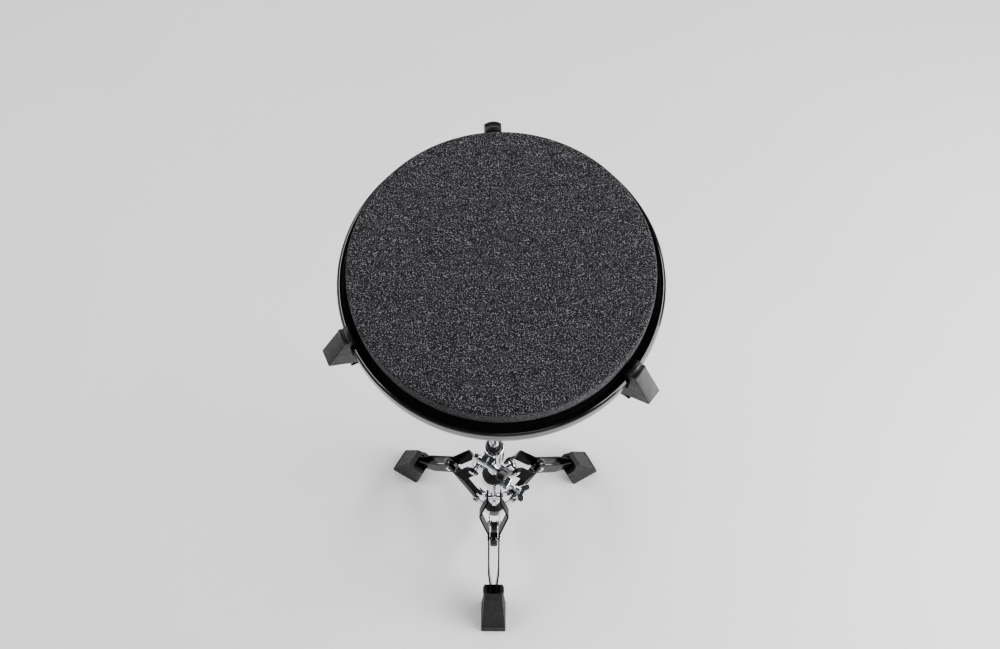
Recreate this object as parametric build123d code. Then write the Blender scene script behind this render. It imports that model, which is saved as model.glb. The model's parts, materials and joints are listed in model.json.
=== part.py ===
from build123d import *
import math
import os

# A round practice pad gripped by a small basket on a height-adjustable tripod stand.
# Millimetres and degrees, +Z up, the player's side is -Y, the floor is Z = 0.
# The origin is the middle of the whole object's footprint box, on the floor.

# ---- how far the stand's tube is behind the middle of the footprint box
stand_y = -4.6895

# ---- practice pad, measured from the ledge plane of its base, along its own axis
pad_x = 7.4
pad_y = 7.8
pad_z = 750.0
pad_tilt = 5.0
base_radius = 152.4
base_depth = 20.0
rim_width = 26.0
rim_floor = 5.0
rim_edge_radius = 4.5
ledge_groove_inset = 1.2
ledge_groove_radius = 0.5
board_gap = 0.2
foam_radius = 141.5
foam_depth = 22.5
foam_edge_radius = 2.5
under_sheet_radius = 124.0
under_sheet_depth = 1.2

# ---- basket: hub, arms and rubber grips, in the pad's own frame
arm_azimuths = (93.5, 205.0, 321.8)
arm_pivot_radius = 20.0
arm_pivot_level = -60.0
arm_width = 15.0
arm_tip_width = 10.0
arm_thickness = 3.0
arm_path = ((20.0, -60.0), (60.0, -60.0), (122.0, -58.5), (160.5, -44.0), (160.5, -4.0))
arm_bend_radius = 7.0
arm_knuckle_radius = 5.0
arm_pin_radius = 2.5
running_gap = 0.05
lug_thickness = 3.0
hub_radius = 33.0
hub_plate_top = -49.0
hub_plate_depth = 3.5
spindle_radius = 5.0
spindle_bottom = -114.0
spindle_nut_height = 5.0
nut_across = 17.0
spider_radius = 44.0
spider_rim_width = 6.0
spider_top = -61.8
spider_floor_top = -69.0
spider_floor_depth = 3.0
knob_radius = 19.0
knob_top = -72.3
knob_height = 13.0
knob_flutes = 18
lock_nut_top = -90.0
lock_nut_height = 5.5
grip_width = 17.0
grip_wall_gap = 0.5
grip_lip_radius = 145.9
grip_lip_level = 0.8
grip_ledge_radius = 141.0
grip_ledge_gap = 0.6
grip_ledge_bottom = -27.0
grip_heel_radius = 149.5
grip_bottom = -40.0
grip_toe = (177.2, -21.4)
grip_brow = (157.0, 12.0)
grip_crown = (153.0, 14.0)

# ---- tilter between the basket and the upper tube
tilt_axis_z = 622.0
tilter_disc_radius = 14.0
tilter_disc_depth = 12.6
tilter_face_gap = 0.2
tilter_bolt_radius = 4.0
yoke_boss_radius = 9.0
yoke_boss_top = -96.0
socket_radius = 10.5
socket_bottom = 575.0
socket_top = 606.0
wing_nut_span = 40.0

# ---- tubes
lower_tube_radius = 9.525
lower_tube_wall = 1.2
lower_tube_bottom = 38.0
lower_tube_top = 300.0
upper_tube_radius = 6.35
upper_tube_wall = 1.2
upper_tube_bottom = 160.0
upper_tube_top = 600.0
glide_bottom = 157.0
glide_top = 187.0
end_cap_radius = 10.8

# ---- height clamp on top of the lower tube
clamp_bottom = 272.0
clamp_top = 310.0
clamp_radius = 13.0
clamp_azimuth = -123.0
clamp_bolt_level = 291.0
clamp_bolt_offset = 18.5
clamp_bolt_radius = 3.0
clamp_lug_radius = 5.0
clamp_slit = 2.4
handle_span = 34.0
handle_turn = -53.0
handle_width = 11.5
handle_depth = 9.5

# ---- sliding collar that carries the legs
leg_azimuths = (-90.0, 30.0, 150.0)
leg_pivot_radius = 29.5
leg_pivot_level = 192.0
collar_inner_radius = 15.3
collar_plate = 2.0
collar_height = 20.0
collar_ear_radius = 36.0
ear_gap = 0.1
leg_bolt_radius = 2.5
lock_azimuth = -30.0
lock_screw_radius = 3.0
lock_wing_span = 26.0
lock_boss_depth = 10.0
lock_boss_width = 20.0

# ---- legs: pairs of flat strips with a rubber boot on the end
knee_radius = 73.0
knee_level = 134.0
strip_thickness = 2.0
strip_width = 18.0
strip_end = 210.0
strip_lateral_ear = 9.4
strip_lateral_wide = 20.0
strip_lateral_run = 7.1
strip_lateral_tip = 3.2
strip_stations = (6.0, 29.0, 61.0, 130.0, 164.0)
strip_bend_radius = 4.0
knee_pin_radius = 2.5
knee_pin_half_length = 8.2
boot_reach = 177.0
boot_heel = 131.0
boot_half_width = 18.4
boot_side_draft = 0.085
boot_toe_level = 14.5
boot_toe_step = 1.9
boot_shoulder = (143.5, 64.5)
boot_throat_half_width = 15.3
boot_throat_start = 163.5
boot_throat_depth = 21.0
boot_lip = 4.5

# ---- fixed lower collar and the stays
stay_pivot_level = 55.0
stay_collar_inner_radius = 14.3
stay_collar_plate = 1.8
stay_collar_height = 20.0
stay_ear_lateral = 6.4
stay_ear_radius = 35.0
stay_width = 9.0
stay_depth = 12.0
stay_wall = 1.4
knee_block_radius = 11.0
knee_block_half_width = 5.2
knee_slot = 4.4
knee_slot_radius = 4.4


# ---------------------------------------------------------------- helpers
def outline(points):
    return make_face(Polyline(*points, close=True))


def slab(face, half_width):
    """A side outline drawn in X and Z, extruded both ways along Y."""
    return extrude(Plane.XZ * face, amount=half_width, both=True)


def rod(radius, length, start=0.0):
    """A round bar along +Z from start."""
    return Pos(0, 0, start) * Cylinder(radius, length, align=(Align.CENTER, Align.CENTER, Align.MIN))


def pipe(outer, inner, bottom, top):
    return rod(outer, top - bottom, bottom) - rod(inner, top - bottom, bottom)


def cross_rod(radius, start, end):
    """A round bar along Y between two lateral stations."""
    return Rot(-90, 0, 0) * rod(radius, end - start, start)


def cross_hex(across, start, end):
    """A hexagon prism along Y between two lateral stations, for bolt heads and nuts."""
    hexagon = extrude(RegularPolygon(across / 2, 6, major_radius=False), amount=end - start)
    return Rot(-90, 0, 0) * Pos(0, 0, start) * hexagon


def shifted_path(points, distance):
    """The same bent path moved sideways, with mitred corners."""
    shifted = []
    for index, (x, y) in enumerate(points):
        before = points[max(index - 1, 0)]
        after = points[min(index + 1, len(points) - 1)]
        normals = []
        for start, end in ((before, (x, y)), ((x, y), after)):
            run = math.dist(start, end)
            if run > 0:
                normals.append(((start[1] - end[1]) / run, (end[0] - start[0]) / run))
        nx = sum(n[0] for n in normals) / len(normals)
        ny = sum(n[1] for n in normals) / len(normals)
        stretch = distance / (nx * nx + ny * ny)
        shifted.append((x + nx * stretch, y + ny * stretch))
    return shifted


def bent_plate(points, thickness, bend_radius):
    """Flat stock of one thickness, bent along a path; returns the edge-on outline."""
    turns = []
    for before, here, after in zip(points, points[1:], points[2:]):
        ahead = (here[0] - before[0]) * (after[1] - here[1])
        turns.append(ahead - (here[1] - before[1]) * (after[0] - here[0]))
    left_radii = [bend_radius + (0 if turn > 0 else thickness) for turn in turns]
    right_radii = [bend_radius + (thickness if turn > 0 else 0) for turn in turns]
    left = shifted_path(points, thickness / 2)
    right = shifted_path(points, -thickness / 2)
    edges = FilletPolyline(*left, radius=left_radii).edges()
    edges += FilletPolyline(*right, radius=right_radii).edges()
    edges += [Edge.make_line(left[0], right[0]), Edge.make_line(left[-1], right[-1])]
    return make_face(edges)


def on_leg(azimuth, shape):
    """From a leg's own frame, X outwards and Y sideways, to the stand's frame."""
    return Rot(0, 0, azimuth) * shape


def along(start_radius, start_level, slope, shape):
    """From a bar's frame, X down its length, to the leg's frame."""
    return Pos(start_radius, 0, start_level) * Rot(0, slope, 0) * shape


# ---------------------------------------------------------------- practice pad
def practice_pad():
    rim = rod(base_radius, base_depth, -base_depth)
    rim = fillet(rim.edges().filter_by(GeomType.CIRCLE), rim_edge_radius)
    well_radius = base_radius - rim_width
    rim -= rod(well_radius, base_depth, -base_depth + rim_floor)
    rim -= Torus(base_radius - rim_edge_radius - ledge_groove_inset, ledge_groove_radius)
    board = rod(well_radius - board_gap, base_depth - rim_floor, -base_depth + rim_floor)
    foam = rod(foam_radius, foam_depth)
    foam = fillet(foam.edges().filter_by(GeomType.CIRCLE).sort_by(Axis.Z)[-1], foam_edge_radius)
    under = rod(under_sheet_radius, under_sheet_depth, -base_depth - under_sheet_depth)
    return {
        "pad_foam": foam,
        "pad_rim": rim,
        "pad_board": board,
        "pad_under_sheet": under,
    }


# ---------------------------------------------------------------- basket
def basket_arm():
    edge_on = bent_plate(arm_path, arm_thickness, arm_bend_radius)
    flat = slab(edge_on, arm_width / 2)
    tip_level = grip_bottom - 6
    waist = Box(60, arm_width, 60, align=(Align.CENTER, Align.CENTER, Align.MIN))
    waist -= Box(60, arm_tip_width, 60, align=(Align.CENTER, Align.CENTER, Align.MIN))
    flat -= Pos(arm_path[-1][0], 0, tip_level) * waist
    knuckle = Pos(arm_pivot_radius, 0, arm_pivot_level) * cross_rod(
        arm_knuckle_radius, -arm_width / 2, arm_width / 2
    )
    bore = Pos(arm_pivot_radius, 0, arm_pivot_level) * cross_rod(
        arm_pin_radius + running_gap, -arm_width, arm_width
    )
    return flat + knuckle - bore


def arm_grip():
    wall = base_radius + grip_wall_gap
    ledge = -base_depth - grip_ledge_gap
    side = outline(
        (
            (grip_lip_radius, grip_lip_level),
            (wall, grip_lip_level),
            (wall, ledge),
            (grip_ledge_radius, ledge),
            (grip_ledge_radius + 1.0, grip_ledge_bottom),
            (grip_heel_radius, grip_bottom),
            (grip_heel_radius + 3.0, grip_bottom),
            (grip_toe[0] - 0.5, grip_toe[1] - 1.2),
            grip_toe,
            grip_brow,
            grip_crown,
            (grip_lip_radius, grip_crown[1] - 4),
        )
    )
    block = slab(side, grip_width / 2)
    long_edges = block.edges().filter_by(Axis.Y)
    head = long_edges.filter_by_position(Axis.Z, grip_crown[1] - 5, grip_crown[1] + 1)
    block = fillet(head, 1.6)
    outer_sides = block.faces().sort_by(Axis.Y)
    block = fillet(outer_sides[-1].outer_wire().edges().sort_by(Axis.X)[-3:], 1.2)
    pocket_height = arm_path[-1][1] - grip_bottom + 0.2
    pocket = Box(
        arm_thickness + 0.2,
        arm_tip_width + 0.2,
        pocket_height,
        align=(Align.CENTER, Align.CENTER, Align.MIN),
    )
    return block - Pos(arm_path[-1][0], 0, grip_bottom) * pocket


def basket_hub():
    plate = rod(hub_radius, hub_plate_depth, hub_plate_top - hub_plate_depth)
    boss = rod(spindle_radius + 4, hub_plate_depth + 2.5, hub_plate_top - hub_plate_depth - 2)
    hub = plate + boss
    lug_face = arm_width / 2 + 0.2
    lug_side = outline(
        (
            (arm_pivot_radius - 6.5, hub_plate_top - 1),
            (arm_pivot_radius - 6.5, arm_pivot_level - 4),
            (arm_pivot_radius - 3.5, arm_pivot_level - 6.5),
            (arm_pivot_radius + 4, arm_pivot_level - 6.5),
            (arm_pivot_radius + 8, arm_pivot_level - 2),
            (hub_radius - 2, hub_plate_top - 1),
        )
    )
    pin_bore = Pos(arm_pivot_radius, 0, arm_pivot_level) * cross_rod(arm_pin_radius, -15, 15)
    for azimuth in arm_azimuths:
        pair = Part()
        for side in (-1, 1):
            lug = slab(lug_side, lug_thickness / 2)
            pair += Pos(0, side * (lug_face + lug_thickness / 2), 0) * lug
        hub += Rot(0, 0, azimuth) * (pair - pin_bore)
    hub -= rod(spindle_radius, 60, hub_plate_top - 50)
    return hub


def arm_pins():
    reach = arm_width / 2 + 0.2 + lug_thickness
    pins = []
    for azimuth in arm_azimuths:
        pin = cross_rod(arm_pin_radius, -reach, reach)
        pin += cross_rod(arm_pin_radius + 1.6, reach, reach + 1.6)
        pin += cross_rod(arm_pin_radius + 1.2, -reach - 1.2, -reach)
        pins.append(Rot(0, 0, azimuth) * Pos(arm_pivot_radius, 0, arm_pivot_level) * pin)
    return pins


def basket_spider():
    """A dished plate; its rim lifts the arms when the knob below pushes it up."""
    floor = rod(spider_radius, spider_floor_depth, spider_floor_top - spider_floor_depth)
    rim = pipe(spider_radius, spider_radius - spider_rim_width, spider_floor_top, spider_top)
    dish = floor + rim
    dish = fillet(dish.edges().filter_by(GeomType.CIRCLE).sort_by(Axis.Z)[-2:], 0.9)
    dish -= rod(spindle_radius + running_gap, 20, spider_floor_top - 10)
    scallop = rod(26, 20, spider_floor_top - spider_floor_depth - 5)
    for azimuth in arm_azimuths:
        dish -= Rot(0, 0, azimuth + 57) * Pos(spider_radius + 12, 0, 0) * scallop
    return dish


def basket_knob():
    knob = rod(knob_radius, knob_height, knob_top - knob_height)
    knob = fillet(knob.edges().filter_by(GeomType.CIRCLE), 2.0)
    flute = rod(2.2, knob_height + 2, knob_top - knob_height - 1)
    for number in range(knob_flutes):
        knob -= Rot(0, 0, number * 360 / knob_flutes) * Pos(knob_radius + 0.8, 0, 0) * flute
    return knob - rod(spindle_radius + running_gap, 40, knob_top - 30)


def basket():
    arm = basket_arm()
    grip = arm_grip()
    boss_top = hub_plate_top + 0.5
    spindle = rod(spindle_radius, boss_top + spindle_nut_height - spindle_bottom, spindle_bottom)
    hexagon = RegularPolygon(nut_across / 2, 6, major_radius=False) - Circle(spindle_radius)
    top_nut = Pos(0, 0, boss_top) * extrude(hexagon, amount=spindle_nut_height)
    lock_nut = Pos(0, 0, lock_nut_top - lock_nut_height) * extrude(hexagon, amount=lock_nut_height)
    nodes = {
        "basket_hub": basket_hub(),
        "basket_arm_pins": Part() + arm_pins(),
        "basket_spindle": spindle,
        "spindle_nuts": Part() + [top_nut, lock_nut],
        "basket_spider": basket_spider(),
        "basket_knob": basket_knob(),
    }
    for number, azimuth in enumerate(arm_azimuths, 1):
        nodes[f"basket_arm_{number}"] = Rot(0, 0, azimuth) * arm
        nodes[f"arm_grip_{number}"] = Rot(0, 0, azimuth) * grip
    return nodes


# ---------------------------------------------------------------- tilter
def along_x(start, end, y, z, radius):
    bar = Cylinder(radius, end - start, align=(Align.CENTER, Align.CENTER, Align.MIN))
    return Pos(start, y, z) * Rot(0, 90, 0) * bar


def across_x(points, start, end):
    """An outline drawn in Y and Z, extruded along X from start to end."""
    return Pos(start, 0, 0) * extrude(Plane.YZ * outline(points), amount=end - start)


def tilter(pad_frame):
    near = tilter_face_gap
    far = tilter_face_gap + tilter_disc_depth
    lower = along_x(-far, -near, 0, tilt_axis_z, tilter_disc_radius)
    lower += rod(socket_radius, socket_top - socket_bottom, socket_bottom)
    web = ((-9.5, socket_top - 4), (9.5, socket_top - 4), (11, tilt_axis_z), (-11, tilt_axis_z))
    lower += across_x(web, -far + 2, -near - 0.6)
    lower -= along_x(-30, 30, 0, tilt_axis_z, tilter_bolt_radius)
    lower -= rod(upper_tube_radius, upper_tube_top - socket_bottom, socket_bottom)

    boss_length = yoke_boss_top - spindle_bottom + 4
    boss = pad_frame * rod(yoke_boss_radius, boss_length, spindle_bottom - 4)
    upper = along_x(near, far, 0, tilt_axis_z, tilter_disc_radius) + boss
    bridge = (
        (-5, tilt_axis_z + 12.5),
        (9, tilt_axis_z + 18),
        (25, tilt_axis_z + 20),
        (26, tilt_axis_z + 13),
        (13, tilt_axis_z - 3),
    )
    upper += across_x(bridge, near + 0.8, far)
    upper -= along_x(-5, 30, 0, tilt_axis_z, tilter_bolt_radius + running_gap)
    upper -= pad_frame * rod(spindle_radius, 60, spindle_bottom)

    bolt = along_x(-far, far + 9, 0, tilt_axis_z, tilter_bolt_radius)
    head = extrude(RegularPolygon(6.5, 6, major_radius=False), amount=5)
    bolt += Pos(-far - 5, 0, tilt_axis_z) * Rot(0, 90, 0) * head

    nut_start = far + 0.3
    nut = along_x(nut_start, nut_start + 9, 0, tilt_axis_z, 7.5)
    half_span = wing_nut_span / 2
    wings = ((half_span, 6), (half_span, 12), (10, 12), (6, 8), (-6, 8), (-10, 12))
    wings += ((-half_span, 12), (-half_span, 6), (-7, 3), (7, 3))
    wing_plane = Plane(origin=(nut_start, 0, tilt_axis_z), x_dir=(0, 1, 0), z_dir=(0, 0, -1))
    blade = extrude(wing_plane * outline(wings), amount=2.2, both=True)
    blade = fillet(blade.edges().filter_by(Axis.Z), 1.3)
    nut += blade
    nut -= along_x(nut_start - 1, nut_start + 30, 0, tilt_axis_z, tilter_bolt_radius + running_gap)
    return {
        "tilter_lower_yoke": lower,
        "tilter_upper_yoke": upper,
        "tilter_bolt": bolt,
        "tilter_wing_nut": nut,
    }


# ---------------------------------------------------------------- tubes and height clamp
def tubes():
    lower_bore = lower_tube_radius - lower_tube_wall
    upper_bore = upper_tube_radius - upper_tube_wall
    glide = rod(lower_bore - 0.08, glide_top - glide_bottom, glide_bottom)
    glide -= rod(upper_tube_radius + running_gap, 60, upper_tube_bottom - 0.1)
    glide -= pipe(lower_bore + 2, lower_bore - 0.5, glide_bottom + 9, glide_top - 9)
    cap = rod(end_cap_radius, 10, lower_tube_bottom - 8)
    cap = fillet(cap.edges().filter_by(GeomType.CIRCLE).sort_by(Axis.Z)[0], 3.0)
    cap += rod(lower_bore, 14, lower_tube_bottom)
    cap -= pipe(lower_tube_radius, lower_bore, lower_tube_bottom, lower_tube_bottom + 20)
    return {
        "lower_tube": pipe(lower_tube_radius, lower_bore, lower_tube_bottom, lower_tube_top),
        "upper_tube": pipe(upper_tube_radius, upper_bore, upper_tube_bottom, upper_tube_top),
        "upper_tube_glide": glide,
        "tube_end_cap": cap,
    }


def height_clamp():
    """Built with its slit facing +X and its bolt along Y, then turned to its azimuth."""
    shell = rod(clamp_radius, clamp_top - clamp_bottom, clamp_bottom)
    rims = shell.edges().filter_by(GeomType.CIRCLE)
    shell = fillet(rims, 1.4)
    lug = cross_rod(clamp_lug_radius, -12, 14)
    from_axis = (Align.MIN, Align.CENTER, Align.CENTER)
    web = Box(clamp_bolt_offset, 16, 2 * clamp_lug_radius, align=from_axis)
    shell += Pos(0, 0, clamp_bolt_level) * web
    shell += Pos(clamp_bolt_offset, 0, clamp_bolt_level) * lug
    shell -= rod(lower_tube_radius, lower_tube_top - clamp_bottom, clamp_bottom)
    bush_radius = upper_tube_radius + 2.45
    shell -= rod(bush_radius, 40, clamp_bottom)
    slit_top = clamp_bolt_level + clamp_lug_radius + 3
    slit_height = slit_top - clamp_bottom + 2
    slit = Box(40, clamp_slit, slit_height, align=(Align.MIN, Align.CENTER, Align.MIN))
    shell -= Pos(0, 0, clamp_bottom - 2) * slit
    bolt_hole = cross_rod(clamp_bolt_radius + running_gap, -30, 30)
    shell -= Pos(clamp_bolt_offset, 0, clamp_bolt_level) * bolt_hole

    bush = pipe(bush_radius, upper_tube_radius + 0.08, lower_tube_top + 0.1, clamp_top + 1.0)
    bush += pipe(bush_radius - 0.8, upper_tube_radius + 0.08, lower_tube_top - 18, lower_tube_top + 0.2)

    nut = cross_hex(10.5, -18.5, -12.1)
    nut -= cross_rod(clamp_bolt_radius + running_gap, -30, 0)
    shank = cross_rod(clamp_bolt_radius, -19.5, 23)
    shank += cross_rod(clamp_bolt_radius + 1.6, 14.3, 19)
    grip = cross_rod(5.6, 19, 30)
    bar = Box(handle_span, handle_width, handle_depth)
    bar = fillet(bar.edges(), 2.6)
    grip += Rot(0, handle_turn, 0) * Pos(0, 27.5, 0) * bar
    grip -= cross_rod(clamp_bolt_radius, 0, 23)
    turned = Rot(0, 0, clamp_azimuth)
    placed = turned * Pos(clamp_bolt_offset, 0, clamp_bolt_level)
    return {
        "height_clamp": turned * shell,
        "clamp_bush": bush,
        "clamp_nut": placed * nut,
        "clamp_bolt": placed * (shank - cross_rod(20, 23, 40)),
        "clamp_handle": placed * grip,
    }


# ---------------------------------------------------------------- leg collar and lower collar
def trefoil_plate(inner, thickness, ear_reach, ear_inner, height, ear_round):
    """One of three pressed plates, reaching from the leg at -60 to the leg at +60 degrees."""
    outer = inner + thickness
    ring = Circle(outer) - Circle(inner)
    for side in (-1, 1):
        strip = Pos(0, -side * (ear_inner + thickness / 2)) * Rectangle(
            ear_reach, thickness, align=(Align.MIN, Align.CENTER)
        )
        cut = Pos(0, side * (outer + 5 - ear_inner)) * Rectangle(80, 2 * (outer + 5))
        turn = Rot(0, 0, side * 60)
        ring = ring - turn * cut + turn * strip
    ring -= Circle(inner)
    ring -= Pos(-40, 0) * Rectangle(80, 80)
    plate = extrude(ring, amount=height / 2, both=True)
    mask = rod(ear_reach - 9, height, -height / 2)
    ear = Box(ear_reach, 4 * outer, height, align=(Align.MIN, Align.CENTER, Align.CENTER))
    ear = fillet(ear.edges().filter_by(Axis.Y).sort_by(Axis.X)[-2:], ear_round)
    for side in (-1, 1):
        mask += Rot(0, 0, side * 60) * ear
    return plate & mask


def cross_bolt(radius, half_grip, head, nut):
    bolt = cross_rod(radius, -half_grip - nut - 1, half_grip)
    bolt += cross_hex(3.4 * radius, half_grip, half_grip + head)
    bolt += cross_hex(3.4 * radius, -half_grip - nut, -half_grip)
    return bolt


def spacers(inner, outer, bolt_radius, spacer_radius):
    both = []
    for low, high in ((inner, outer), (-outer, -inner)):
        ring = cross_rod(spacer_radius, low, high)
        both.append(ring - cross_rod(bolt_radius, low - 1, high + 1))
    return both


def leg_collar():
    plate = trefoil_plate(
        collar_inner_radius, collar_plate, collar_ear_radius, ear_gap / 2, collar_height, 7.0
    )
    plate = Pos(0, 0, leg_pivot_level) * plate
    ear_face = ear_gap / 2 + collar_plate
    strip_face = strip_lateral_ear - strip_thickness / 2
    bolt_place = Pos(leg_pivot_radius, 0, leg_pivot_level)
    hole = bolt_place * cross_rod(leg_bolt_radius, -10, 10)
    screw_hole = Pos(0, 0, leg_pivot_level) * Rot(0, 90, 0) * rod(lock_screw_radius + running_gap, 60)
    nodes = {}
    bolts, rings = [], []
    for number, azimuth in enumerate(leg_azimuths, 1):
        turned = Rot(0, 0, azimuth + 60) * plate
        for leg in leg_azimuths:
            turned -= Rot(0, 0, leg) * hole
        if number == 1:
            turned -= Rot(0, 0, lock_azimuth) * screw_hole
        nodes[f"leg_collar_plate_{number}"] = turned
        grip = strip_lateral_ear + strip_thickness / 2 + 0.1
        bolts.append(on_leg(azimuth, bolt_place * cross_bolt(leg_bolt_radius, grip, 2.6, 3.2)))
        for ring in spacers(ear_face, strip_face - 0.1, leg_bolt_radius, 4.6):
            rings.append(on_leg(azimuth, bolt_place * ring))
    nodes["leg_bolts"] = Part() + bolts
    nodes["leg_spacers"] = Part() + rings

    half = collar_height / 2 + 1
    bottom, top = leg_pivot_level - half, leg_pivot_level + half
    sleeve = pipe(collar_inner_radius - 0.05, lower_tube_radius + 0.08, bottom, top)
    nodes["leg_collar_sleeve"] = sleeve - Rot(0, 0, lock_azimuth) * screw_hole

    from_axis = (Align.MIN, Align.CENTER, Align.CENTER)
    boss = Box(lock_boss_depth, lock_boss_width, 17, align=from_axis)
    boss = fillet(boss.edges().filter_by(Axis.X), 4.0)
    boss = fillet(boss.faces().sort_by(Axis.X)[-1].edges(), 1.5)
    boss = Pos(collar_inner_radius, 0, leg_pivot_level) * boss
    boss -= rod(collar_inner_radius + collar_plate / 2, 80, leg_pivot_level - 40)
    nodes["leg_collar_plate_1"] += Rot(0, 0, lock_azimuth) * (boss - screw_hole)

    screw = Rot(0, 90, 0) * rod(lock_screw_radius, 32, lower_tube_radius + 0.3)
    neck = Rot(0, 90, 0) * rod(4.6, 8, 34)
    half_span = lock_wing_span / 2
    wing = ((36, -3.5), (36, 3.5), (40, 6.5), (45, half_span), (51, half_span), (52, 8), (48, 2.5))
    wing += ((48, -2.5), (52, -8), (51, -half_span), (45, -half_span), (40, -6.5))
    blade = extrude(outline(wing), amount=1.9, both=True)
    blade = fillet(blade.edges().filter_by(Axis.Z), 1.4)
    screw += neck + Rot(28, 0, 0) * blade
    nodes["lock_wing_screw"] = Rot(0, 0, lock_azimuth) * Pos(0, 0, leg_pivot_level) * screw
    return nodes


def lower_collar():
    plate = trefoil_plate(
        stay_collar_inner_radius,
        stay_collar_plate,
        stay_ear_radius,
        stay_ear_lateral,
        stay_collar_height,
        7.0,
    )
    plate = Pos(0, 0, stay_pivot_level) * plate
    bolt_place = Pos(leg_pivot_radius, 0, stay_pivot_level)
    hole = bolt_place * cross_rod(leg_bolt_radius, -10, 10)
    nodes = {}
    bolts, rings = [], []
    for number, azimuth in enumerate(leg_azimuths, 1):
        turned = Rot(0, 0, azimuth + 60) * plate
        for leg in leg_azimuths:
            turned -= Rot(0, 0, leg) * hole
        nodes[f"stay_collar_plate_{number}"] = turned
        grip = stay_ear_lateral + stay_collar_plate
        bolts.append(on_leg(azimuth, bolt_place * cross_bolt(leg_bolt_radius, grip, 2.4, 3.0)))
        for ring in spacers(stay_width / 2 + 0.1, stay_ear_lateral, leg_bolt_radius, 4.2):
            rings.append(on_leg(azimuth, bolt_place * ring))
    nodes["stay_bolts"] = Part() + bolts
    nodes["stay_spacers"] = Part() + rings
    half = stay_collar_height / 2 + 1
    bottom, top = stay_pivot_level - half, stay_pivot_level + half
    nodes["stay_collar_core"] = pipe(stay_collar_inner_radius, lower_tube_radius, bottom, top)
    return nodes


# ---------------------------------------------------------------- legs and stays
leg_slope = math.degrees(math.atan2(leg_pivot_level - knee_level, knee_radius - leg_pivot_radius))
knee_station = math.hypot(leg_pivot_level - knee_level, knee_radius - leg_pivot_radius)
stay_slope = math.degrees(math.atan2(stay_pivot_level - knee_level, knee_radius - leg_pivot_radius))
stay_length = math.hypot(knee_level - stay_pivot_level, knee_radius - leg_pivot_radius)


def leg_strip(side):
    """One flat strip; it hugs the spacers, bows out, then runs parallel into the boot."""
    flare, wide, narrow, pinch, tip = strip_stations
    path = (
        (-strip_width, side * strip_lateral_ear),
        (flare, side * strip_lateral_ear),
        (wide, side * strip_lateral_wide),
        (narrow, side * strip_lateral_run),
        (pinch, side * strip_lateral_run),
        (tip, side * strip_lateral_tip),
        (strip_end + strip_width, side * strip_lateral_tip),
    )
    plan = bent_plate(path, strip_thickness, strip_bend_radius)
    strip = extrude(plan, amount=strip_width / 2, both=True)
    middle = (strip_end - strip_width / 2) / 2
    side_view = Pos(middle, 0) * SlotCenterToCenter(strip_end - strip_width / 2, strip_width)
    strip = strip & slab(side_view, 40)
    strip -= cross_rod(leg_bolt_radius + running_gap, -40, 40)
    strip -= Pos(knee_station, 0, 0) * cross_rod(knee_pin_radius, -40, 40)
    return strip


def knee_pin():
    pin = cross_rod(knee_pin_radius, -knee_pin_half_length, knee_pin_half_length)
    dome = cross_rod(knee_pin_radius + 1.5, knee_pin_half_length, knee_pin_half_length + 1.7)
    dome = fillet(dome.edges().filter_by(GeomType.CIRCLE).sort_by(Axis.Y)[-1], 1.3)
    return Pos(knee_station, 0, 0) * (pin + dome + mirror(dome, Plane.XZ))


def rubber_boot(strips):
    """Drawn in the leg's frame: a drafted wedge on the floor, lipped round the strips."""
    across = (math.sin(math.radians(leg_slope)), math.cos(math.radians(leg_slope)))

    def beside(station, offset):
        radius = leg_pivot_radius + station * across[1] + offset * across[0]
        return (radius, leg_pivot_level - station * across[0] + offset * across[1])

    half_depth = boot_throat_depth / 2
    side_view = outline(
        (
            (boot_reach, 0),
            (boot_reach - 3.5, boot_toe_level),
            (boot_reach - 3.5 - boot_toe_step, boot_toe_level + 0.5),
            boot_shoulder,
            beside(boot_throat_start, half_depth),
            beside(boot_throat_start, -half_depth),
            beside(boot_throat_start + 13, -half_depth),
            (boot_heel, 12.0),
            (boot_heel + 1.0, 0),
        )
    )
    crown = 80.0
    crown_half_width = boot_half_width - boot_side_draft * crown
    end_view = outline(
        (
            (boot_half_width, 0),
            (crown_half_width, crown),
            (-crown_half_width, crown),
            (-boot_half_width, 0),
        )
    )
    block = slab(side_view, 30) & extrude(Plane.YZ * end_view, amount=200)
    upright = block.edges().filter_by(Axis.Y, reverse=True)
    block = fillet(upright.filter_by_position(Axis.Z, 5, 10), 2.6)

    from_start = (Align.MIN, Align.CENTER, Align.CENTER)
    lip = Box(boot_lip, 2 * boot_throat_half_width, boot_throat_depth, align=from_start)
    lip = fillet(lip.edges().filter_by(Axis.X), 7.0)
    mouth = Box(6, 19, 18.6, align=from_start)
    mouth = Pos(-1, 0, 0) * fillet(mouth.edges().filter_by(Axis.X), 4.0)
    pocket_length = strip_end + 0.3 - boot_throat_start
    pocket_width = 2 * strip_lateral_tip + strip_thickness + 0.1
    pocket = Box(pocket_length, pocket_width, strip_width + 0.1, align=from_start)
    at_throat = Pos(boot_throat_start, 0, 0)
    boot = block + along(leg_pivot_radius, leg_pivot_level, leg_slope, at_throat * lip)
    boot -= along(leg_pivot_radius, leg_pivot_level, leg_slope, at_throat * (mouth + pocket))
    return boot - strips


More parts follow.
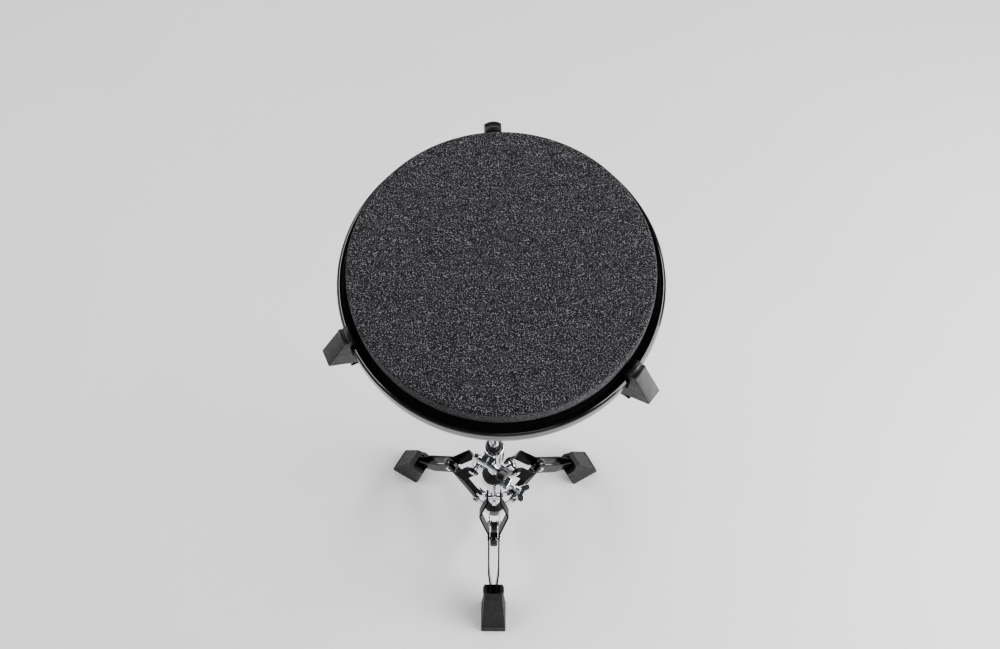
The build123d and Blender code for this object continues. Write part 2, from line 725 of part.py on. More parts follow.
def stay():
    """Pressed channel with its web towards the tube, pivoting on the lower collar's bolt."""
    length = stay_length - 9.0
    middle = length / 2
    body = Pos(middle, 0, 0) * Box(length, stay_width, stay_depth)
    body += cross_rod(stay_depth / 2, -stay_width / 2, stay_width / 2)
    inner = stay_width / 2 - stay_wall
    body -= Pos(-20, 0, -stay_wall) * Box(
        length + 60, 2 * inner, stay_depth, align=(Align.MIN, Align.CENTER, Align.CENTER)
    )
    body -= Pos(-20, 0, 0) * Box(
        20 + stay_depth, 2 * inner, 3 * stay_depth, align=(Align.MIN, Align.CENTER, Align.CENTER)
    )
    body -= cross_rod(leg_bolt_radius + running_gap, -20, 20)
    return body - Pos(stay_length, 0, 0) * cross_rod(knee_block_radius, -20, 20)


def knee_block():
    block = cross_rod(knee_block_radius, -knee_block_half_width, knee_block_half_width)
    block = fillet(block.edges().filter_by(GeomType.CIRCLE), 3.4)
    neck_width = stay_width - 2 * stay_wall
    neck = Pos(-9.0, 0, -stay_wall / 2) * Box(
        34, neck_width, stay_depth - stay_wall, align=(Align.MAX, Align.CENTER, Align.CENTER)
    )
    start = Pos(-2, 0, -stay_wall / 2) * Box(
        8, neck_width, stay_depth - stay_wall, align=(Align.MAX, Align.CENTER, Align.CENTER)
    )
    block += neck + start
    bore = cross_rod(knee_slot_radius, -20, 20)
    slot = bore + Pos(-knee_slot, 0, 0) * bore
    slot += Pos(-knee_slot / 2, 0, 0) * Box(knee_slot, 40, 2 * knee_slot_radius)
    block -= slot
    return Pos(stay_length, 0, 0) * block


def legs():
    down_leg = Pos(leg_pivot_radius, 0, leg_pivot_level) * Rot(0, leg_slope, 0)
    up_stay = Pos(leg_pivot_radius, 0, stay_pivot_level) * Rot(0, stay_slope, 0)
    right_strip = down_leg * leg_strip(-1)
    left_strip = down_leg * leg_strip(1)
    pin = down_leg * knee_pin()
    boot = rubber_boot(right_strip + left_strip)
    channel = up_stay * stay()
    block = up_stay * knee_block()
    nodes = {}
    for number, azimuth in enumerate(leg_azimuths, 1):
        nodes[f"leg_{number}_strip_right"] = on_leg(azimuth, right_strip)
        nodes[f"leg_{number}_strip_left"] = on_leg(azimuth, left_strip)
        nodes[f"knee_pin_{number}"] = on_leg(azimuth, pin)
        nodes[f"rubber_foot_{number}"] = on_leg(azimuth, boot)
        nodes[f"stay_{number}"] = on_leg(azimuth, channel)
        nodes[f"knee_block_{number}"] = on_leg(azimuth, block)
    return nodes


# ---------------------------------------------------------------- assembly
def build_nodes():
    tilt = math.radians(pad_tilt)
    pad_plane = Plane(
        origin=(pad_x, pad_y, pad_z),
        x_dir=(1, 0, 0),
        z_dir=(0, -math.sin(tilt), math.cos(tilt)),
    )
    pad_frame = pad_plane.location
    nodes = {}
    for group in (practice_pad(), basket()):
        for name, shape in group.items():
            nodes[name] = pad_frame * shape
    for group in (tilter(pad_frame), tubes(), height_clamp(), leg_collar(), lower_collar(), legs()):
        nodes.update(group)
    return nodes


os.makedirs("parts", exist_ok=True)
for name, shape in build_nodes().items():
    export_step(Pos(0, stand_y, 0) * shape, f"parts/{name}.step")
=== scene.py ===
import json
import math

import bmesh
import bpy
from mathutils import Matrix, Vector


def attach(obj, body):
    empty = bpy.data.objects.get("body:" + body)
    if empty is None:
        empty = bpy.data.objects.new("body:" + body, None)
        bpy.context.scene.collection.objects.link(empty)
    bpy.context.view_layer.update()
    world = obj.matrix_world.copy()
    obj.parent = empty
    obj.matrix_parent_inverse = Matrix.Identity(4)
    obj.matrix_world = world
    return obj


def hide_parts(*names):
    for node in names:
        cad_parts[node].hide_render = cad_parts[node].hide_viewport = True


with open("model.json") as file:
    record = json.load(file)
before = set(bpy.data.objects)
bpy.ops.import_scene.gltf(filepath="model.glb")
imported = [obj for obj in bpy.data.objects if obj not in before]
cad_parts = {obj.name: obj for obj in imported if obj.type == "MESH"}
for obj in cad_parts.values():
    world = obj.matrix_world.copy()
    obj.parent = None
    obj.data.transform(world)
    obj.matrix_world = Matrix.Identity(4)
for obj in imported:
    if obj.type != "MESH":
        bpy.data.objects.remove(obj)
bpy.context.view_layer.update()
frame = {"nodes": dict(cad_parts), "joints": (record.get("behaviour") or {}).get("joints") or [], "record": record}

# A round practice pad gripped by a small basket on a folding tripod stand.
# Pieces are drawn in millimetres in the frame of the part that they belong to, then placed
# in metres in the object's frame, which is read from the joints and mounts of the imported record.

JOINTS = {joint["name"]: joint for joint in frame["joints"]}
MOUNTS = {mount["name"]: mount for mount in frame["record"]["mounts"]}
BODY_OF = {node: body for body, nodes in frame["record"]["behaviour"]["bodies"].items() for node in nodes}
SLOT_OF = {part["node"]: part["material_slot"] for part in frame["record"]["subparts"]}
NUMBERS = (1, 2, 3)
UP = Vector((0, 0, 1))


# ---------------------------------------------------------------- frames
def placed(origin, x_axis, z_axis):
    """From a local frame in millimetres to the object's frame in metres."""
    x_axis = Vector(x_axis).normalized()
    z_axis = Vector(z_axis).normalized()
    turn = Matrix((x_axis, z_axis.cross(x_axis), z_axis)).transposed().to_4x4()
    return Matrix.Translation(Vector(origin)) @ turn @ Matrix.Scale(0.001, 4)


def local_box(node, place):
    """Lowest and highest corner of a CAD node in a local frame, in millimetres."""
    inward = place.inverted()
    points = [inward @ vertex.co for vertex in frame["nodes"][node].data.vertices]
    low = Vector([min(point[axis] for point in points) for axis in range(3)])
    high = Vector([max(point[axis] for point in points) for axis in range(3)])
    return low, high


pad_axis = Vector(MOUNTS["playing_face"]["axis"])
pad_centre = Vector(MOUNTS["playing_face"]["pos_m"])
on_pad_top = placed(pad_centre, (1, 0, 0), pad_axis)
foam_low, foam_high = local_box("pad_foam", on_pad_top)
FOAM_DEPTH = -foam_low.z
FOAM_RADIUS = foam_high.x
on_pad = placed(pad_centre - pad_axis * FOAM_DEPTH / 1000, (1, 0, 0), pad_axis)


def on_arm(number):
    """The pad's frame turned so that X points out along one arm."""
    lateral = Vector(JOINTS[f"arm_{number}_open"]["axis"])
    return placed(on_pad.translation, lateral.cross(pad_axis), pad_axis)


# ---------------------------------------------------------------- mesh helpers
def arc(centre_x, centre_y, radius, start, end, steps):
    """Points on an arc between two angles in degrees."""
    points = []
    for step in range(steps + 1):
        angle = math.radians(start + (end - start) * step / steps)
        points.append((centre_x + radius * math.cos(angle), centre_y + radius * math.sin(angle)))
    return points


def lathe(profile, steps):
    """An outline of (radius, level) from axis to axis, turned round local Z."""
    shell = bmesh.new()
    rings = []
    for radius, level in profile:
        count = steps if radius > 0 else 1
        ring = []
        for step in range(count):
            angle = 2 * math.pi * step / steps
            ring.append(shell.verts.new((radius * math.cos(angle), radius * math.sin(angle), level)))
        rings.append(ring)
    for lower, upper in zip(rings, rings[1:]):
        for step in range(steps):
            after = step + 1
            corners = [lower[step % len(lower)], lower[after % len(lower)]]
            corners += [upper[after % len(upper)], upper[step % len(upper)]]
            shell.faces.new(list(dict.fromkeys(corners)))
    bmesh.ops.recalc_face_normals(shell, faces=shell.faces)
    return shell


def prism(outline, half_width, cuts=1):
    """An outline in local X and Z carried along Y in several equal steps."""
    block = bmesh.new()
    rows = []
    for cut in range(cuts + 1):
        lateral = half_width * (2 * cut / cuts - 1)
        rows.append([block.verts.new((x, lateral, z)) for x, z in outline])
    for before, after in zip(rows, rows[1:]):
        for index in range(len(outline)):
            following = (index + 1) % len(outline)
            block.faces.new((before[index], before[following], after[following], after[index]))
    block.faces.new(rows[0])
    block.faces.new(list(reversed(rows[-1])))
    bmesh.ops.recalc_face_normals(block, faces=block.faces)
    return block


def sharp_edges(shell, angle):
    """Edges whose faces meet at more than an angle in degrees."""
    limit = math.radians(angle)
    return [edge for edge in shell.edges if edge.is_manifold and edge.calc_face_angle(0) > limit]


def round_edges(shell, width, segments=2, angle=28):
    """Bevels the sharp edges of a mesh with a rounded profile."""
    bmesh.ops.bevel(
        shell,
        geom=sharp_edges(shell, angle),
        offset=width,
        segments=segments,
        profile=0.5,
        affect="EDGES",
        clamp_overlap=True,
    )


def finish_piece(name, shell, place, nodes, smooth_angle):
    """Turns a mesh under construction into a piece that stands for CAD nodes on one body."""
    mesh = bpy.data.meshes.new(name)
    shell.to_mesh(mesh)
    shell.free()
    mesh.transform(place)
    piece = bpy.data.objects.new(name, mesh)
    bpy.context.scene.collection.objects.link(piece)
    for polygon in mesh.polygons:
        polygon.use_smooth = True
    mesh.set_sharp_from_angle(angle=math.radians(smooth_angle))
    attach(piece, BODY_OF[nodes[0]])
    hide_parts(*nodes)
    piece.data.materials.append(MATERIALS[SLOT_OF[nodes[0]]])
    return piece


def apply_modifiers(piece):
    """Keeps the evaluated mesh and drops the modifiers."""
    graph = bpy.context.evaluated_depsgraph_get()
    graph.update()
    made = bpy.data.meshes.new_from_object(piece.evaluated_get(graph))
    piece.modifiers.clear()
    piece.data = made


def cut_out(piece, cutter_shell, place):
    """Cuts a closed mesh out of a piece."""
    mesh = bpy.data.meshes.new("cutter")
    cutter_shell.to_mesh(mesh)
    cutter_shell.free()
    mesh.transform(place)
    cutter = bpy.data.objects.new("cutter", mesh)
    bpy.context.scene.collection.objects.link(cutter)
    cut = piece.modifiers.new("cut", "BOOLEAN")
    cut.operation = "DIFFERENCE"
    cut.solver = "EXACT"
    cut.object = cutter
    apply_modifiers(piece)
    bpy.data.objects.remove(cutter)


def even_normals(piece):
    """Flat faces shade flat and their rounded edges shade smoothly into them."""
    weighted = piece.modifiers.new("normals", "WEIGHTED_NORMAL")
    weighted.weight = 80
    weighted.keep_sharp = True


def cad_shell(node):
    """A clean copy of a CAD node's mesh, with its flat faces whole again, in metres."""
    shell = bmesh.new()
    shell.from_mesh(frame["nodes"][node].data)
    bmesh.ops.remove_doubles(shell, verts=shell.verts, dist=2e-6)
    bmesh.ops.dissolve_limit(
        shell,
        angle_limit=math.radians(0.5),
        use_dissolve_boundaries=False,
        verts=shell.verts,
        edges=shell.edges,
    )
    return shell


def softened(node, radius):
    """A CAD node's own shape with its sharp edges broken by a small radius in millimetres."""
    shell = cad_shell(node)
    round_edges(shell, radius / 1000)
    piece = finish_piece(f"{node}_finished", shell, Matrix.Identity(4), [node], 50)
    even_normals(piece)
    return piece


def moulded(node, voxel, smoothing, details=()):
    """A CAD node's own shape, less any details cut out of it, as one soft moulding."""
    shell = cad_shell(node)
    piece = finish_piece(f"{node}_moulded", shell, Matrix.Identity(4), [node], 180)
    for cutter, place in details:
        cut_out(piece, cutter, place)
    remesh = piece.modifiers.new("remesh", "REMESH")
    remesh.mode = "VOXEL"
    remesh.voxel_size = voxel / 1000
    remesh.use_smooth_shade = True
    relax = piece.modifiers.new("relax", "SMOOTH")
    relax.factor = 0.5
    relax.iterations = smoothing
    apply_modifiers(piece)
    return piece


# ---------------------------------------------------------------- materials
class Finish:
    """A procedural material, built up in layers on one principled shader."""

    def __init__(self, name, colour, roughness, metallic=0.0):
        self.material = bpy.data.materials.new(name)
        self.material.use_nodes = True
        self.tree = self.material.node_tree
        self.shader = self.tree.nodes["Principled BSDF"]
        self.position = self.tree.nodes.new("ShaderNodeTexCoord").outputs["Object"]
        self.set("Base Color", (*colour, 1))
        self.set("Roughness", roughness)
        self.set("Metallic", metallic)
        self.normal = None

    def set(self, socket, value):
        self.shader.inputs[socket].default_value = value

    def node(self, kind, **settings):
        """Adds a shader node and sets its properties."""
        made = self.tree.nodes.new(kind)
        for name, value in settings.items():
            setattr(made, name, value)
        return made

    def join(self, source, target):
        self.tree.links.new(source, target)

    def stretched(self, stretch):
        """Texture positions squeezed along some axes, for brushed or drawn marks."""
        mapping = self.node("ShaderNodeMapping")
        mapping.inputs["Scale"].default_value = stretch
        self.join(self.position, mapping.inputs["Vector"])
        return mapping.outputs["Vector"]

    def noise(self, size, detail=4.0, rough=0.55, stretch=(1, 1, 1)):
        """A noise value whose features are about size millimetres."""
        noise = self.node("ShaderNodeTexNoise")
        noise.inputs["Scale"].default_value = 1000 / size
        noise.inputs["Detail"].default_value = detail
        noise.inputs["Roughness"].default_value = rough
        self.join(self.stretched(stretch), noise.inputs["Vector"])
        return noise.outputs["Fac"]

    def cells(self, size):
        """Distance to the nearest of scattered points about size millimetres apart."""
        cells = self.node("ShaderNodeTexVoronoi")
        cells.inputs["Scale"].default_value = 1000 / size
        self.join(self.position, cells.inputs["Vector"])
        return cells.outputs["Distance"]

    def ramp(self, value, stops):
        """Colours or greys at positions along a value; a number stands for a grey."""
        ramp = self.node("ShaderNodeValToRGB")
        colours = ramp.color_ramp.elements
        while len(colours) < len(stops):
            colours.new(0.5)
        for element, (position, colour) in zip(colours, stops):
            element.position = position
            element.color = (colour,) * 3 + (1,) if isinstance(colour, float) else (*colour, 1)
        self.join(value, ramp.inputs["Fac"])
        return ramp.outputs["Color"]

    def mix(self, share, first, second):
        mix = self.node("ShaderNodeMix", data_type="RGBA")
        self.join(share, mix.inputs["Factor"])
        self.join(first, mix.inputs["A"])
        self.join(second, mix.inputs["B"])
        return mix.outputs["Result"]

    def colour(self, source):
        self.join(source, self.shader.inputs["Base Color"])

    def roughness(self, source):
        self.join(source, self.shader.inputs["Roughness"])

    def bump(self, height, strength, depth):
        """Adds relief of about depth millimetres on top of the relief so far."""
        bump = self.node("ShaderNodeBump")
        bump.inputs["Strength"].default_value = strength
        bump.inputs["Distance"].default_value = depth / 1000
        self.join(height, bump.inputs["Height"])
        if self.normal:
            self.join(self.normal, bump.inputs["Normal"])
        self.normal = bump.outputs["Normal"]
        self.join(self.normal, self.shader.inputs["Normal"])


def foam_finish():
    """Closed-cell foam: charcoal body, dark open cells and fine pale flecks."""
    foam = Finish("flecked_foam", (0.05, 0.05, 0.055), 0.9)
    grain = foam.noise(1.0, 1.0, 0.5)
    speckle = foam.ramp(
        grain,
        [
            (0.4, (0.0, 0.0, 0.0)),
            (0.5, (0.005, 0.005, 0.0057)),
            (0.57, (0.026, 0.0255, 0.029)),
            (0.67, (0.2, 0.196, 0.212)),
        ],
    )
    worn = foam.ramp(foam.noise(45, 3), [(0.3, (0.016, 0.016, 0.018)), (0.75, (0.032, 0.032, 0.035))])
    patches = foam.ramp(foam.noise(26, 4), [(0.3, 0.0), (0.75, 0.14)])
    foam.colour(foam.mix(patches, speckle, worn))
    foam.roughness(foam.ramp(foam.noise(2.0), [(0.3, 0.8), (0.7, 0.97)]))
    foam.bump(grain, 0.5, 0.25)
    foam.bump(foam.cells(1.7), 0.3, 0.25)
    foam.set("Specular IOR Level", 0.3)
    foam.set("Sheen Weight", 0.04)
    foam.set("Sheen Roughness", 0.6)
    return foam.material


def moulded_plastic(name, low, high, rough_low, rough_high, grain_depth, coat=0.0, specular=0.5):
    """Injection-moulded plastic with a fine spark grain and faint handling marks."""
    plastic = Finish(name, high, rough_high)
    plastic.colour(plastic.ramp(plastic.noise(24, 4), [(0.35, low), (0.7, high)]))
    smears = plastic.noise(18, 5, 0.65)
    plastic.roughness(plastic.ramp(smears, [(0.35, rough_low), (0.7, rough_high)]))
    plastic.bump(plastic.noise(0.9, 3), 0.5, grain_depth)
    plastic.bump(plastic.noise(60, 2), 0.25, 0.25)
    plastic.set("Specular IOR Level", specular)
    plastic.set("Coat Weight", coat)
    plastic.set("Coat Roughness", 0.22)
    return plastic.material


def rubber_finish(name, low, high, dust, grain, grain_depth, smooth=0.5):
    """Moulded rubber: mottled, with pale dust held in its grain; smooth is its lowest roughness."""
    rubber = Finish(name, low, 0.7)
    mottle = rubber.ramp(rubber.noise(7, 6, 0.62), [(0.38, low), (0.62, high)])
    dusty = rubber.ramp(rubber.noise(1.6, 5, 0.7), [(0.6, 0.0), (0.78, 0.7)])
    pale = rubber.ramp(rubber.noise(20, 2), [(0.3, dust), (0.8, high)])
    rubber.colour(rubber.mix(dusty, mottle, pale))
    rubber.roughness(rubber.ramp(rubber.noise(5, 5), [(0.35, smooth), (0.7, smooth + 0.2)]))
    rubber.bump(rubber.noise(grain, 4), 0.6, grain_depth)
    rubber.bump(rubber.noise(9, 3), 0.4, 0.3)
    rubber.set("Specular IOR Level", 0.45)
    return rubber.material


def chrome_finish(name, tint, rough_low, rough_high, drawn=(1, 1, 1)):
    """Plated steel: bright, faintly wavy, with fine rubbed marks and small dull spots."""
    chrome = Finish(name, tint, rough_low, 1.0)
    shade = tuple(0.86 * part for part in tint)
    chrome.colour(chrome.ramp(chrome.noise(16, 5), [(0.3, shade), (0.6, tint)]))
    marks = chrome.noise(2.2, 6, 0.7, drawn)
    chrome.roughness(chrome.ramp(marks, [(0.42, rough_low), (0.75, rough_high)]))
    chrome.bump(chrome.noise(0.5, 4, 0.6, drawn), 0.16, 0.02)
    chrome.bump(chrome.noise(14, 2), 0.12, 0.12)
    return chrome.material


def painted_finish(name, low, high, rough_low, rough_high):
    """Powder coat over steel: orange peel, with bare metal showing in small chips scattered at random."""
    paint = Finish(name, high, rough_high)
    shade = paint.ramp(paint.noise(30, 4), [(0.3, low), (0.75, high)])
    chips = paint.ramp(paint.noise(2.6, 6, 0.75), [(0.74, 0.0), (0.77, 1.0)])
    bare = paint.ramp(paint.noise(1.0, 3), [(0.3, (0.14, 0.14, 0.15)), (0.8, (0.3, 0.3, 0.31))])
    paint.colour(paint.mix(chips, shade, bare))
    paint.roughness(paint.ramp(paint.noise(12, 5), [(0.35, rough_low), (0.7, rough_high)]))
    paint.bump(paint.noise(1.7, 2), 0.35, 0.05)
    paint.set("Specular IOR Level", 0.09)
    return paint.material


def board_finish():
    """Raw fibreboard with short pale fibres."""
    board = Finish("fibreboard", (0.3, 0.2, 0.12), 0.85)
    fibres = board.noise(1.4, 5, 0.7, (1, 6, 6))
    board.colour(board.ramp(fibres, [(0.3, (0.2, 0.13, 0.07)), (0.7, (0.42, 0.3, 0.18))]))
    board.roughness(board.ramp(board.noise(3), [(0.3, 0.75), (0.7, 0.95)]))
    board.bump(fibres, 0.5, 0.2)
    return board.material


def grey(level, blue=1.1):
    """A neutral grey that leans slightly to blue."""
    return (level, level, level * blue)


MATERIALS = {
    "foam": foam_finish(),
    "rim": moulded_plastic("rim_plastic", grey(0.003), grey(0.005), 0.1, 0.18, 0.006),
    "board": board_finish(),
    "under_sheet": rubber_finish("sheet_rubber", grey(0.012), grey(0.026), grey(0.08), 0.8, 0.12),
    "grip_rubber": rubber_finish("grip_rubber", grey(0.012), grey(0.02), grey(0.05), 0.5, 0.02, 0.36),
    "boot_rubber": rubber_finish("boot_rubber", grey(0.004), grey(0.010), grey(0.045), 1.0, 0.14),
    "cap_rubber": rubber_finish("cap_rubber", grey(0.012), grey(0.022), grey(0.06), 0.8, 0.1),
    "strip_paint": painted_finish("strip_paint", grey(0.004), grey(0.007), 0.16, 0.3),
    "stay_paint": painted_finish("stay_paint", grey(0.007), grey(0.013), 0.26, 0.4),
    "chrome": chrome_finish("tube_chrome", (0.78, 0.79, 0.81), 0.04, 0.12, (6, 6, 0.6)),
    "fastener_chrome": chrome_finish("fastener_chrome", (0.76, 0.77, 0.79), 0.08, 0.2),
    "pressed_chrome": chrome_finish("pressed_chrome", (0.76, 0.77, 0.79), 0.05, 0.15, (1, 1, 5)),
    "bearing_plastic": moulded_plastic("bearing_nylon", grey(0.008), grey(0.014), 0.3, 0.45, 0.02),
    "knee_plastic": moulded_plastic("knee_nylon", grey(0.004), grey(0.008), 0.08, 0.18, 0.008, coat=0.4),
    "handle_plastic": moulded_plastic(
        "handle_plastic", grey(0.004), grey(0.008), 0.2, 0.34, 0.03, specular=0.4
    ),
}


# ---------------------------------------------------------------- practice pad
def foam_disc():
    """A firm disc: rounded playing edge, sides that swell slightly at mid height."""
    low_round = 1.2
    top_round = 3.0
    swell = 0.5
    side = FOAM_RADIUS - swell
    flat_shares = (0.93, 0.85, 0.7, 0.5, 0.25, 0)
    profile = [(0, 0), (FOAM_RADIUS * 0.7, 0)]
    profile += arc(side - low_round, low_round, low_round, -90, 0, 4)
    profile += [(side + swell * 0.8, FOAM_DEPTH * 0.3), (FOAM_RADIUS, FOAM_DEPTH * 0.5)]
    profile += [(side + swell * 0.7, FOAM_DEPTH * 0.72)]
    profile += arc(side - top_round, FOAM_DEPTH - top_round, top_round, 0, 90, 10)
    profile += [(FOAM_RADIUS * share, FOAM_DEPTH) for share in flat_shares]
    piece = finish_piece("foam_disc", lathe(profile, 240), on_pad, ["pad_foam"], 60)


def rim_shell():
    """The moulded base: rounded outer edges, a fine groove inside the top edge, a parting line."""
    low, high = local_box("pad_rim", on_pad)
    board_low, board_high = local_box("pad_board", on_pad)
    radius = high.x
    bottom = low.z
    edge = 4.5
    foot = 2.5
    well = board_high.x + 0.2
    floor = board_low.z
    seam = bottom * 0.55
    seam_reach = 0.35
    seam_depth = 0.3
    groove_depth = 0.4
    profile = [(0, bottom), (well, bottom)]
    profile += arc(radius - foot, bottom + foot, foot, -90, 0, 6)
    profile += [(radius, seam - seam_reach), (radius - seam_depth, seam), (radius, seam + seam_reach)]
    profile += arc(radius - edge, -edge, edge, 0, 90, 14)
    groove = radius - edge - 1.2
    profile += [(groove + 0.5, 0), (groove + 0.25, -groove_depth)]
    profile += [(groove - 0.25, -groove_depth), (groove - 0.5, 0)]
    profile += [(FOAM_RADIUS + 1.0, 0), (well, 0), (well, floor), (0, floor)]
    finish_piece("rim_shell", lathe(profile, 240), on_pad, ["pad_rim"], 35)


def anti_slip_sheet():
    """A thin rubber disc with concentric ribs on its underside."""
    low, high = local_box("pad_under_sheet", on_pad)
    pitch = 6.0
    groove_floor = low.z + 0.45
    slope = 0.4
    groove_width = 2.2
    edge = 0.5
    profile = [(0, low.z)]
    radius = pitch
    while radius < high.x - pitch:
        profile += [(radius, low.z), (radius + slope, groove_floor)]
        profile += [(radius + groove_width - slope, groove_floor), (radius + groove_width, low.z)]
        radius += pitch
    profile += arc(high.x - edge, low.z + edge, edge, -90, 0, 3)
    profile += [(high.x, high.z), (0, high.z)]
    finish_piece("anti_slip_sheet", lathe(profile, 192), on_pad, ["pad_under_sheet"], 35)


# ---------------------------------------------------------------- rubber grips
def grip_crown():
    """The grip's upper edge, from its sloping face inwards: distance from the toe, depth below the top."""
    small_bead = [(18.9, 4.0), (18.8, 2.0), (19.6, 0.9), (20.8, 0.9)]
    groove = [(21.5, 2.0), (22.5, 2.9), (23.5, 2.0)]
    dome = [(24.2, 0.7), (25.2, 0.1), (26.6, 0.0), (28.2, 0.6), (29.8, 2.0)]
    return small_bead + groove + dome


def grip_shell(number, place):
    """A rubber claw on the rim: domed head, groove and bead, sloping outer face, pointed heel."""
    low, high = local_box(f"arm_grip_{number}", place)
    rim_low, rim_high = local_box("pad_rim", on_pad)
    wall = rim_high.x + 0.5
    lip = low.x + 4.9
    lip_level = 0.8
    top = high.z
    lip_top = top - 4.6
    base = low.z
    ledge = rim_low.z - 0.6
    jaw_level = ledge - 6.4
    toe = high.x
    toe_level = base + 18.6
    outline = [(lip, lip_level), (wall, lip_level), (wall, ledge)]
    outline += [(low.x, ledge), (low.x + 1.0, jaw_level)]
    outline += [(low.x + 8.5, base), (low.x + 11.5, base), (toe - 0.5, toe_level - 1.2), (toe, toe_level)]
    outline += [(toe - inwards, top - depth) for inwards, depth in grip_crown()]
    outline += [(lip, lip_top)]
    half_width = high.y
    block = prism(outline, half_width, 10)
    round_edges(block, 0.7, 3, 35)
    arch = 2.4
    lean = 0.6
    taper = 0.06
    for vertex in block.verts:
        share = max(0.0, min(1.0, (vertex.co.z - toe_level) / (top - toe_level)))
        outwards = max(0.0, vertex.co.x - lip)
        bow = (vertex.co.y / half_width) ** 2 * share**3
        vertex.co.z -= arch * bow
        vertex.co.x -= min(outwards, lean * arch * bow)
        vertex.co.y *= 1 - taper * share
    return block


def rubber_grips():
    """Three grips, each with a slot for the turned-up end of its arm."""
    arm_thickness = 3.0
    gap = 0.1
    slot_half_width = 5.1
    for number in NUMBERS:
        place = on_arm(number)
        node = f"arm_grip_{number}"
        piece = finish_piece(f"rubber_grip_{number}", grip_shell(number, place), place, [node], 38)
        grip_low, _ = local_box(node, place)
        _, arm_high = local_box(f"basket_arm_{number}", place)
        inner = arm_high.x - arm_thickness - gap
        outer = arm_high.x + gap
        bottom = grip_low.z - 5.0
        top = arm_high.z + 2 * gap
        slot = prism([(outer, bottom), (outer, top), (inner, top), (inner, bottom)], slot_half_width)
        cut_out(piece, slot, place)
        even_normals(piece)


# ---------------------------------------------------------------- stand
def tread_cutters(node, place):
    """Shallow grooves across a foot's sole."""
    low, high = local_box(node, place)
    cutters = []
    pitch = 7.0
    width = 2.0
    depth = 1.2
    below = -1.0
    reach = 30
    across = low.x + 6.0
    while across < high.x - 5.0:
        groove = [(across, below), (across, depth), (across + width, depth), (across + width, below)]
        cutters.append((prism(groove, reach), place))
        across += pitch
    return cutters


def on_leg(number):
    """X out along one leg from the tube's axis, Z up."""
    outward = Vector(JOINTS[f"leg_{number}_pivot"]["axis"]).cross(UP)
    tube = Vector(JOINTS["post_swivel"]["pos_m"])
    return placed((tube.x, tube.y, 0), outward, UP)


def rubber_feet():
    """Moulded boots with a grooved sole."""
    for number in NUMBERS:
        place = on_leg(number)
        node = f"rubber_foot_{number}"
        moulded(node, 0.7, 2, tread_cutters(node, place))


def stand_parts():
    """Metal and plastic parts keep their CAD shape, with edge radii that suit how each is made."""
    for number in NUMBERS:
        for side in ("left", "right"):
            softened(f"leg_{number}_strip_{side}", 0.45)
        softened(f"stay_{number}", 0.4)
        softened(f"leg_collar_plate_{number}", 0.35)
        softened(f"stay_collar_plate_{number}", 0.35)
        softened(f"basket_arm_{number}", 0.6)
        softened(f"knee_block_{number}", 0.4)
        softened(f"knee_pin_{number}", 0.2)
    for node in ("leg_bolts", "leg_spacers", "stay_bolts", "stay_spacers", "spindle_nuts", "basket_arm_pins"):
        softened(node, 0.4)
    for node in ("lower_tube", "upper_tube", "height_clamp", "clamp_nut", "clamp_bolt", "clamp_bush"):
        softened(node, 0.3)
    for node in ("leg_collar_sleeve", "stay_collar_core", "upper_tube_glide", "tube_end_cap"):
        softened(node, 0.4)
    for node in ("basket_hub", "basket_spindle", "basket_spider", "basket_knob", "clamp_handle"):
        softened(node, 0.5)
    for node in ("tilter_lower_yoke", "tilter_upper_yoke", "tilter_bolt"):
        softened(node, 0.8)
    moulded("tilter_wing_nut", 0.4, 4)
    moulded("lock_wing_screw", 0.4, 3)


def remaining_nodes():
    """CAD nodes that show as they are take their slot's finish."""
    for node, shown in frame["nodes"].items():
        if not shown.hide_render:
            shown.data.materials.clear()
            shown.data.materials.append(MATERIALS[SLOT_OF[node]])


# ---------------------------------------------------------------- studio
def studio_material(name, colour, roughness):
    paper = Finish(name, colour, roughness)
    shade = tuple(0.97 * part for part in colour)
    paper.colour(paper.ramp(paper.noise(400, 2), [(0.3, shade), (0.7, colour)]))
    return paper.material


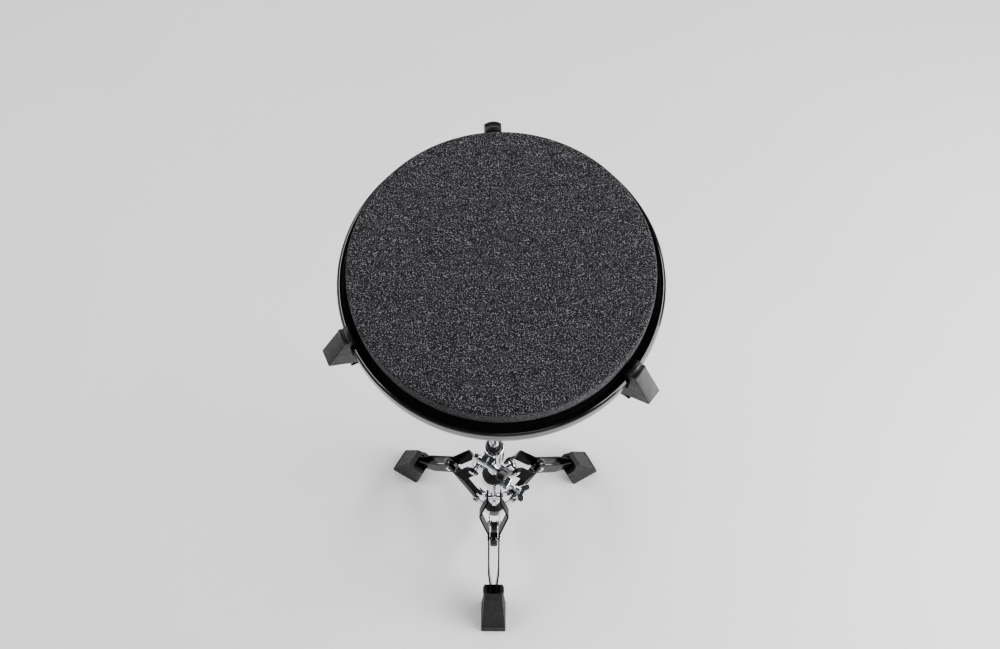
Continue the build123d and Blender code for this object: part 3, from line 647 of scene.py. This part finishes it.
def studio():
    """A plain pale floor that rolls up all round into a backdrop, and soft area lights."""
    sweep = 1.8
    flat = 2.8
    wall_top = 5.0
    profile = [(0, 0), (flat, 0)] + arc(flat, sweep, sweep, -80, 0, 12)
    profile.append((flat + sweep, wall_top))
    sheet = lathe(profile, 96)
    mesh = bpy.data.meshes.new("floor")
    sheet.to_mesh(mesh)
    sheet.free()
    for polygon in mesh.polygons:
        polygon.use_smooth = True
    floor = bpy.data.objects.new("floor", mesh)
    floor.data.materials.append(studio_material("pale_paper", (0.66, 0.66, 0.67), 0.85))
    bpy.context.scene.collection.objects.link(floor)

    world = bpy.data.worlds.new("studio")
    world.use_nodes = True
    background = world.node_tree.nodes["Background"]
    background.inputs["Color"].default_value = (0.85, 0.88, 0.92, 1)
    background.inputs["Strength"].default_value = 0.06
    bpy.context.scene.world = world

    target = Vector((0, 0, 0.5))
    # Name, place and size in metres, power in watts.
    lamps = (
        ("left_strip", (-1.7, 0.25, 1.9), (2.8, 0.45), 46),
        ("right_strip", (1.7, -0.15, 1.8), (2.6, 0.5), 60),
        ("back_softbox", (0.1, 1.9, 2.3), (1.6, 0.6), 26),
        ("front_softbox", (0.5, -2.3, 1.5), (1.2, 0.8), 6),
        ("right_low", (1.9, -0.45, 0.62), (1.2, 0.5), 40),
        ("left_low", (-1.9, 0.1, 0.55), (1.2, 0.5), 3),
    )
    for name, place, size, power in lamps:
        data = bpy.data.lights.new(name, "AREA")
        data.shape = "RECTANGLE"
        data.size, data.size_y = size
        data.energy = power
        lamp = bpy.data.objects.new(name, data)
        lamp.location = place
        lamp.rotation_euler = (target - Vector(place)).to_track_quat("-Z", "Y").to_euler()
        bpy.context.scene.collection.objects.link(lamp)
    bpy.context.scene.view_settings.look = "AgX - Medium High Contrast"


def camera():
    """High in front of the player's side, looking steeply down on the pad."""
    tube = Vector(JOINTS["post_swivel"]["pos_m"])
    data = bpy.data.cameras.new("camera")
    data.sensor_width = 36.0
    data.lens = 37.93
    view = bpy.data.objects.new("camera", data)
    sideways = 0.00757
    back = 0.46674
    height = 1.59989
    pitch = 1.1079
    yaw = -0.0025
    roll = 0.0069
    view.location = (tube.x + sideways, tube.y - back, height)
    view.rotation_mode = "QUATERNION"
    aim = Matrix.Rotation(-yaw, 4, "Z") @ Matrix.Rotation(math.pi / 2 - pitch, 4, "X")
    view.matrix_world = Matrix.Translation(view.location) @ aim @ Matrix.Rotation(roll, 4, "Z")
    bpy.context.scene.collection.objects.link(view)
    bpy.context.scene.camera = view


camera()
foam_disc()
rim_shell()
anti_slip_sheet()
rubber_grips()
rubber_feet()
stand_parts()
remaining_nodes()
studio()
